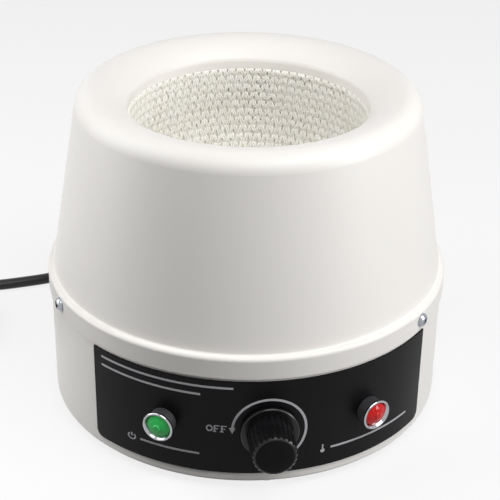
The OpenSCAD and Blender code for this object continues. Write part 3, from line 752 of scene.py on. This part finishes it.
@dataclass
class MainsLead:
    """The mains lead, from its gland round the case to its coil and its plug."""

    diameter: float = 6.2
    exit_y: float = 121.0
    height: float = 20.0
    coil_centre: Pair = (-182.0, 60.0)
    turn_radii: tuple[float, ...] = (39.8, 33.6, 27.4)
    steps: int = 24
    shift_share: float = 0.25  # share of a turn in which it moves over to the next
    sides: int = 16
    resolution: int = 4
    # the same points as in the CAD source: down to the bench, round behind, to the coil
    route: tuple[Point, ...] = (
        (0, 121, 20), (0, 130, 19.9), (-1, 140, 19), (-5, 150, 17.2), (-14, 159, 14.5),
        (-26, 162, 11.5), (-38, 159, 8.6), (-50, 150, 6), (-62, 139, 4.3), (-74, 128, 3.4),
        (-86, 118, 3.1), (-96, 111.5, 3.1), (-106, 107.6, 3.1), (-120, 104.4, 3.1),
        (-134, 102, 3.1), (-150, 100.4, 3.1), (-166, 99.8, 3.1),
    )
    plug_route: tuple[Point, ...] = (
        (-196, 100.8, 8.8), (-208, 98.6, 7.5), (-219, 92.5, 6), (-227, 83, 4.5),
        (-231.5, 72, 4), (-233, 62, 5.6), (-233, 54, 8.2), (-233, 47, 10.4),
        (-233, 40, 11.5), (-233, 34, 12),
    )

    def coil(self) -> list[Point]:
        """Winds the coil: in along the bench, up one lead, and out again on top.

        Returns:
            The points of the turns.
        """
        low, high = self.diameter / 2, 1.5 * self.diameter
        rows = [(r, low) for r in self.turn_radii] + [(r, high) for r in self.turn_radii[::-1]]
        points = []
        for turn, (radius, height) in enumerate(rows):
            following = rows[min(turn + 1, len(rows) - 1)]
            for step in range(self.steps):
                share = step / self.steps
                late = max(0.0, (share - 1 + self.shift_share) / self.shift_share)
                late = late * late * (3 - 2 * late)
                r = radius + (following[0] - radius) * late
                z = height + (following[1] - height) * late
                angle = pi / 2 + 2 * pi * share
                points.append((
                    self.coil_centre[0] + r * cos(angle),
                    self.coil_centre[1] + r * sin(angle), z))
        points.append((self.coil_centre[0], self.coil_centre[1] + self.turn_radii[0], high))
        return points

    def build(self) -> Piece:
        """Returns:
            The lead.
        """
        points = list(self.route) + self.coil() + list(self.plug_route)
        made = round_curve("mains_lead", self.diameter / 2, self.sides, caps=True)
        made.data.resolution_u = self.resolution
        spline = made.data.splines.new("BEZIER")
        spline.bezier_points.add(len(points) - 1)
        for knot, point in zip(spline.bezier_points, points):
            knot.co = mm(*point)
            knot.handle_left_type = knot.handle_right_type = "AUTO"
        bpy.context.view_layer.update()
        dress(made, CORD_PVC, CASE, ("mains_cord", "cord_coil", "plug_lead"))
        plug = MouldedPlug().build()
        return made


@dataclass
class MouldedPlug:
    """The plug moulded onto the lead: a ribbed tail, a waisted grip and a flat body."""

    place: Point = (-233.0, 36.0, 12.0)
    corner_r: float = 12.0
    half_width: float = 17.0
    corners: int = 48
    tail_l: float = 14.0
    tail_r: Pair = (4.6, 6.5)
    tail_edge: float = 0.5
    ribs: int = 5
    groove: float = 0.7
    # share of a rib's pitch, and of the groove's depth, at each corner of a rib
    rib_form: tuple[Pair, ...] = ((0.08, 0.0), (0.6, 0.0), (0.68, 1.0), (0.92, 1.0))
    # distance from the tail's end, half width and half height of each section after it
    body: tuple[Point, ...] = (
        (14.6, 7.6, 7.4), (17.0, 11.2, 9.0), (19.5, 13.6, 9.9), (21.2, 14.6, 10.4),
        (22.0, 15.4, 11.0), (22.6, 16.6, 11.7), (23.4, 17.0, 12.0), (38.6, 17.0, 12.0),
        (39.5, 16.7, 11.7), (40.0, 15.9, 10.9),
    )

    def sections(self) -> list[Point]:
        """Lists the sections from the tail's end to the plug's face.

        Returns:
            Distance, half width and half height of each.
        """
        end_r = self.tail_r[0] - self.tail_edge
        listed = [(0.0, end_r, end_r)]
        pitch = self.tail_l / self.ribs
        for rib in range(self.ribs):
            for share, sunk in self.rib_form:
                along = (rib + share) * pitch
                r = self.tail_r[0] + (self.tail_r[1] - self.tail_r[0]) * along / self.tail_l
                r -= sunk * self.groove
                listed.append((along, r, r))
        return listed + list(self.body)

    def build(self) -> Piece:
        """Draws the plug out of a disc, section by section, and sets it on the lead.

        Returns:
            The plug, which replaces its CAD node.
        """
        made = open_disc("moulded_plug", self.corners, self.corner_r, pi / self.corners)
        spread = self.half_width - self.corner_r
        for side in (-1, 1):
            bpy.ops.mesh.select_all(action="DESELECT")
            bpy.ops.object.mode_set(mode="OBJECT")
            for vertex in made.data.vertices:
                vertex.select = vertex.co.x * side > 0
            bpy.ops.object.mode_set(mode="EDIT")
            bpy.ops.transform.translate(value=mm(side * spread, 0, 0))
        bpy.ops.mesh.select_all(action="SELECT")
        last = (0.0, self.half_width, self.corner_r)
        for index, section in enumerate(self.sections()):
            if index:
                draw_up(section[0] - last[0])
            bpy.ops.transform.resize(
                value=(section[1] / last[1], section[2] / last[2], 1.0),
                center_override=mm(0, 0, section[0]))
            last = section
        close_up()
        made.rotation_euler = (pi / 2, 0.0, 0.0)
        made.location = mm(*self.place)
        return dress(settle(made), CORD_PVC, CASE, ("plug_body",), smooth=35.0)


@dataclass
class KnittedBowl:
    """The heating bowl: rows of knitted glass yarn over a glass cloth."""

    bowl_z: float = 132.0
    top_z: float = 152.0
    web_r: float = 59.0
    mid_r: float = 59.25
    cloth_r: float = 60.6
    cloth_t: float = 0.5
    cloth_steps: int = 24
    neck_z: float = 155.0
    row_pitch: float = 4.6
    row_half: float = 1.5
    stitch: float = 4.8
    strand_r: float = 0.66
    strand_gap: float = 1.1
    loop_side: float = 1.1
    loop_height: float = 3.2
    loop_depth: float = 0.6
    points: int = 12
    sides: int = 6
    wobble: float = 0.42
    reach_share: float = 0.4  # share of the wobble that changes a loop's height
    wale_lean: float = 0.012  # radians from one row to the next
    seed: int = 11

    def wall(self, radius: float, along: float) -> tuple[float, float, float, float]:
        """Finds a place on the bowl's wall by its distance from the lowest point.

        Args:
            radius: Radius of the layer.
            along: Distance along the wall from the bottom.

        Returns:
            Radius and height there, and the radius and height parts of its outward normal.
        """
        quarter = radius * pi / 2
        if along < quarter:
            turn = along / radius
            return (radius * sin(turn), self.bowl_z - radius * cos(turn), sin(turn),
                    -cos(turn))
        return radius, self.bowl_z + along - quarter, 1.0, 0.0

    def row(self, along: float, index: int, chance: random.Random) -> list[list[Point]]:
        """Knits one row: a closed course of loops, laid with two strands side by side.

        Args:
            along: Distance of the row's middle from the bowl's lowest point.
            index: The row's number, which lets the wales lean a little.
            chance: The seeded source of the small unevenness.

        Returns:
            The points of the two strands.
        """
        radius = self.wall(self.mid_r, along)[0]
        count = max(5, round(2 * pi * radius / self.stitch))
        width = 2 * pi * radius / count
        top = self.mid_r * pi / 2 + self.top_z - self.bowl_z
        strands: list[list[Point]] = [[], []]
        for stitch in range(count):
            lean = chance.uniform(-1, 1) * self.wobble
            lift = chance.uniform(-1, 1) * self.wobble
            reach = self.loop_height * (1 + chance.uniform(-1, 1) * self.wobble * self.reach_share)
            for step in range(self.points):
                t = 2 * pi * step / self.points
                swell = sin(t / 2) ** 2
                across = width * (stitch + step / self.points) \
                    + self.loop_side * sin(2 * t) + lean * swell
                up = along - reach * cos(t) + lift * swell
                run = width / (2 * pi) + 2 * self.loop_side * cos(2 * t)
                rise = reach * sin(t)
                inward = -self.loop_depth * cos(2 * t)
                for strand, side in zip(strands, (-0.5, 0.5)):
                    shift = side * self.strand_gap / hypot(run, rise)
                    level = min(max(0.0, up + shift * run), top - self.strand_r)
                    r, z, out_r, out_z = self.wall(self.mid_r, level)
                    r, z = r - inward * out_r, z - inward * out_z
                    angle = (across - shift * rise) / radius + index * self.wale_lean
                    strand.append((r * cos(angle), r * sin(angle), z))
        return strands

    def strands(self, name: str, paths: Sequence[Sequence[Point]]) -> Piece:
        """Draws closed round strands through lists of points and turns them into a mesh.

        Args:
            name: The object's name.
            paths: Points of each strand.

        Returns:
            The mesh of the strands.
        """
        made = round_curve(name, self.strand_r, self.sides, caps=False)
        for path in paths:
            spline = made.data.splines.new("POLY")
            spline.points.add(len(path) - 1)
            spline.points.foreach_set(
                "co", [value for point in path for value in (*mm(*point), 1.0)])
            spline.use_cyclic_u = True
        pick(made)
        bpy.ops.object.convert(target="MESH")
        return bpy.context.object

    def cloth(self) -> Piece:
        """Lays the glass cloth behind the knit and up behind the cover's collar.

        Returns:
            The cloth, a closed shell.
        """
        quarter = self.cloth_r * pi / 2
        stops = [quarter * step / self.cloth_steps for step in range(self.cloth_steps + 1)]
        inner = [self.wall(self.cloth_r, along)[:2] for along in stops]
        inner.append((self.cloth_r, self.neck_z))
        outer = [
            (r + self.cloth_t * out_r, z + self.cloth_t * out_z)
            for r, z, out_r, out_z in (self.wall(self.cloth_r, along) for along in stops)]
        outer.append((self.cloth_r + self.cloth_t, self.neck_z))
        made = spun("bowl_cloth", inner + outer[::-1])
        return dress(made, GLASS_CLOTH, CASE, ("woven_liner",))

    def build(self) -> None:
        """Knits the rows from the neck down and lays the cloth behind them.

        The knit is split in three pieces, so that none of them has too many faces.
        """
        chance = random.Random(self.seed)
        top = self.web_r * pi / 2 + self.top_z - self.bowl_z
        count = int((top - self.row_half) / self.row_pitch)
        rows = [
            self.row(top - self.row_half - index * self.row_pitch, index, chance)
            for index in range(count)
        ]
        self.cloth()
        first, second = count // 4, count // 2
        parts = (("knit_upper", rows[:first]), ("knit_middle", rows[first:second]),
                 ("knit_lower", rows[second:]))
        for name, part in parts:
            strands = self.strands(name, [strand for row in part for strand in row])
            dress(strands, GLASS_KNIT, CASE, smooth=80.0)
            log.info("%s: %d rows, %d faces", name, len(part), len(strands.data.polygons))


@dataclass
class DomeScrews:
    """The three domed cross-head screws that hold the cover to the base."""

    azimuths: tuple[float, ...] = (-70.0, 50.0, 170.0)  # degrees from the panel's middle
    height: float = 68.7
    seat_r: float = 101.2
    shank_l: float = 6.0
    # radius and height of each corner of the head, from its seat to its crown
    head: tuple[Pair, ...] = (
        (3.4, 0.0), (3.45, 0.3), (3.35, 0.8), (3.1, 1.3), (2.65, 1.72), (2.0, 2.05),
        (1.2, 2.24), (0.5, 2.3), (0.0, 2.31),
    )
    shank_r: float = 1.9
    slot: Point = (4.0, 0.9, 1.4)
    slot_floor: float = 1.25
    steps: int = 40
    turn_first: float = 10.0  # degrees that the first screw's cross is turned
    turn_step: float = 25.0  # degrees more on each screw after it

    def screw(self) -> Piece:
        """Turns one screw and cuts its cross.

        Returns:
            The screw, standing on the origin.
        """
        shank = [(0.0, -self.shank_l), (self.shank_r, -self.shank_l), (self.shank_r, 0.0)]
        made = spun("dome_screw", shank + list(self.head), self.steps)
        bars = []
        for turn in (0.0, pi / 2):
            bpy.ops.mesh.primitive_cube_add(
                size=mm(1), location=mm(0, 0, self.slot_floor + self.slot[2] / 2),
                rotation=(0, 0, turn))
            bpy.context.object.scale = self.slot
            bars.append(settle(bpy.context.object))
        for bar in bars:
            modify(made, "BOOLEAN", operation="DIFFERENCE", solver="EXACT", object=bar)
            bpy.data.objects.remove(bar)
        return made

    def build(self) -> Piece:
        """Sets a copy of the screw at each place.

        Returns:
            The screws, one piece.
        """
        first = self.screw()
        copies = []
        for index, azimuth in enumerate(self.azimuths):
            pick(first)
            bpy.ops.object.duplicate()
            spin = self.turn_step * index + self.turn_first
            copies.append(
                set_out(bpy.context.object, azimuth, self.seat_r, self.height, spin))
        bpy.data.objects.remove(first)
        made = join(copies, "dome_screws")
        return dress(made, BLUE_ZINC, CASE, ("shell_screws",), smooth=30.0)


@dataclass
class PilotLens:
    """A faceted lens of a pilot lamp, which sits in the cup of its bezel."""

    name: str
    azimuth: float  # degrees from the panel's middle
    finish: Finish
    slot: str
    height: float = 35.1
    back: float = 106.35
    radius: float = 5.85
    rim: float = 0.6
    facets: int = 12
    # share of the width that each ring keeps, and how far it rises
    steps: tuple[Pair, ...] = ((0.62, 1.1), (0.5, 0.55), (0.75, 0.65))

    def build(self) -> Piece:
        """Shapes the lens from a disc: a rim, two rings of turned facets and a nub.

        Returns:
            The lens, which replaces the CAD node of the same name.
        """
        made = open_disc(self.name + "_facets", self.facets, self.radius)
        draw_up(self.rim)
        level = self.rim
        for shrink, rise in self.steps:
            level += rise
            draw_up(rise)
            bpy.ops.transform.resize(
                value=(shrink, shrink, 1.0), center_override=mm(0, 0, level))
            bpy.ops.transform.rotate(
                value=pi / self.facets, orient_axis="Z",
                center_override=mm(0, 0, level))
        bpy.ops.mesh.select_all(action="SELECT")
        bpy.ops.mesh.quads_convert_to_tris()
        close_up()
        set_out(made, self.azimuth, self.back, self.height)
        return dress(made, self.finish, CASE, (self.name,), smooth=None)


@dataclass
class KnobCap:
    """The matt cap pressed into the knob's face, with a fine sloped edge."""

    face: float = 120.9  # from the case's axis
    axis_z: float = 34.2
    radius: float = 9.0
    proud: float = 0.15
    edge: float = 0.3
    middle: float = 5.4  # width of the inner ring of faces
    sunk: float = 0.4
    corners: int = 64

    def build(self) -> Piece:
        """Shapes the cap from a disc with a sloped edge.

        Returns:
            The cap, which turns with the knob.
        """
        made = open_disc("knob_cap", self.corners, self.radius)
        draw_up(self.sunk)
        for inset, rise in ((self.edge, self.proud), (self.middle, 0.0)):
            bpy.ops.mesh.inset(thickness=mm(inset), depth=mm(rise))
        close_up()
        set_out(made, 0.0, self.face - self.sunk, self.axis_z)
        return dress(made, CAP_BLACK, KNOB, smooth=30.0)


@dataclass
class PanelPrint:
    """The light grey print of the control panel: dial arc, OFF mark, rules and symbols.

    Each mark is a flat strip in front of the panel, at its place across and up. The strips
    are then pressed onto the panel's curved face and thickened to a film of ink.
    """

    front_y: float = -112.0
    cut: float = 2.5  # longest straight piece of a bar
    ink: float = 0.05
    lift: float = 0.02
    # place, radius, line, start and sweep in degrees, width over height, and segments of each
    # ring: the dial's arc, the letter O, the power mark and the thermometer's bulb
    rings: tuple[tuple[float, ...], ...] = (
        (0.0, 34.2, 17.4, 1.2, -85, 224, 1.0, 40),
        (-27.85, 35.0, 1.475, 0.75, 0, 360, 0.85, 24),
        (-63.4, 19.7, 1.6, 0.6, 35, 290, 1.0, 20),
        (26.0, 18.7, 0.55, 1.1, 0, 360, 1.0, 12))
    dart_at: Pair = (-17.4, 34.8)
    dart_size: Pair = (3.1, 3.4)
    # middle, width and height of each bar: the four rules, then one in either symbol
    bars: tuple[tuple[float, ...], ...] = (
        (-46.65, 57.8, 59.3, 1.1), (-54.1, 53.3, 44.4, 1.1), (-46.0, 19.7, 27.0, 1.1),
        (50.8, 19.7, 41.6, 1.1), (-63.4, 20.9, 0.6, 2.0), (26.0, 20.7, 0.7, 3.0))
    # the two letters F: their middles, and the shift, width and height of the bars of each
    letters: tuple[Pair, ...] = ((-24.5, 35.0), (-21.15, 35.0))
    letter_bars: tuple[tuple[float, ...], ...] = (
        (-0.975, 0.0, 0.75, 3.7), (0.0, 1.6, 2.7, 0.5), (-0.3, 0.0, 1.89, 0.5),
        (-0.975, -1.6, 1.65, 0.5))

    def bar(self, x: float, z: float, width: float, height: float) -> Piece:
        """Lays a straight strip, cut along its length so that it can follow the curve.

        Args:
            x: Its middle across.
            z: Its middle up.
            width: Its size across.
            height: Its size up.

        Returns:
            The flat strip.
        """
        bpy.ops.mesh.primitive_plane_add(
            size=mm(1), location=mm(x, self.front_y, z), rotation=(pi / 2, 0, 0))
        made = bpy.context.object
        made.scale = (width, height, 1.0)
        settle(made)
        bpy.ops.object.mode_set(mode="EDIT")
        count = max(1, round(width / self.cut))
        for index in range(1, count):
            bpy.ops.mesh.select_all(action="SELECT")
            bpy.ops.mesh.bisect(
                plane_co=mm(x + width * (index / count - 0.5), self.front_y, z),
                plane_no=(1, 0, 0))
        bpy.ops.object.mode_set(mode="OBJECT")
        return made

    def arc(
        self, x: float, z: float, radius: float, width: float, start: float, sweep: float,
        squash: float, steps: int
    ) -> Piece:
        """Spins a strip round a point of the panel.

        Args:
            x: The point's place across.
            z: Its place up.
            radius: Radius of the strip's middle line.
            width: Width of the strip.
            start: Where the strip starts, in degrees clockwise from twelve o'clock.
            sweep: How far it runs on clockwise, in degrees.
            squash: Its size across over its size up.
            steps: Segments along the strip.

        Returns:
            The flat strip.
        """
        turn = radians(start)
        low = radius - width / 2
        centre = mm(x, self.front_y, z)
        first = mm(x + low * sin(turn), self.front_y, z + low * cos(turn))
        across = mm(width * sin(turn), 0, width * cos(turn))
        made = swept(first, [across], steps, radians(sweep), centre, (0, -1, 0))
        bpy.ops.transform.resize(value=(squash, 1.0, 1.0), center_override=centre)
        bpy.ops.object.mode_set(mode="OBJECT")
        return settle(made)

    def dart(self) -> Piece:
        """Lays the dial's arrow head, point down.

        Returns:
            The flat triangle.
        """
        (x, z), (width, height) = self.dart_at, self.dart_size
        bpy.ops.mesh.primitive_circle_add(
            vertices=3, radius=mm(1), fill_type="NGON", location=mm(x, self.front_y, z),
            rotation=(pi / 2, pi, 0))
        made = bpy.context.object
        made.scale = (width / sqrt(3), height / 1.5, 1.0)
        settle(made)
        bpy.ops.object.mode_set(mode="EDIT")
        bpy.ops.mesh.select_all(action="SELECT")
        bpy.ops.mesh.poke()
        bpy.ops.object.mode_set(mode="OBJECT")
        return made

    def build(self) -> Piece:
        """Draws every mark, presses them onto the panel and gives them a thickness.

        Returns:
            The print, one piece.
        """
        strips = [self.arc(*ring) for ring in self.rings]
        strips.append(self.dart())
        strips += [self.bar(*bar) for bar in self.bars]
        strips += [
            self.bar(x + across, z + up, width, height)
            for x, z in self.letters for across, up, width, height in self.letter_bars]
        made = join(strips, "panel_print")
        modify(made, "SHRINKWRAP", target=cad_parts["control_panel"],
               wrap_method="PROJECT", use_project_x=False, use_project_y=True,
               use_project_z=False, use_positive_direction=True, offset=mm(self.lift))
        modify(made, "SOLIDIFY", thickness=mm(self.ink), offset=1.0)
        return dress(made, SCREEN_INK, CASE, smooth=None)


def dress_nodes() -> None:
    """Gives every carried-over CAD node its finish."""
    for name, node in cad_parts.items():
        node.data.materials.clear()
        node.data.materials.append(NODE_FINISH[name].build())
    log.info("dressed %d CAD nodes", len(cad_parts))


def main() -> None:
    """Builds the scene, the camera and the lead first, and logs how many CAD nodes were dressed
    and the faces of each part of the knit.
    """
    logging.basicConfig(level=logging.INFO, format="%(message)s")
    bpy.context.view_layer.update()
    bpy.context.scene.view_settings.view_transform = "Standard"
    studio = Studio()
    studio.camera()
    MainsLead().build()
    studio.floor()
    studio.world()
    studio.light()
    dress_nodes()
    KnittedBowl().build()
    PilotLens("green_lens", -28.8, GREEN_LENS, "green_lens").build()
    PilotLens("red_lens", 28.8, RED_LENS, "red_lens").build()
    KnobCap().build()
    DomeScrews().build()
    PanelPrint().build()
    bpy.context.view_layer.update()


if __name__ == "__main__":
    main()
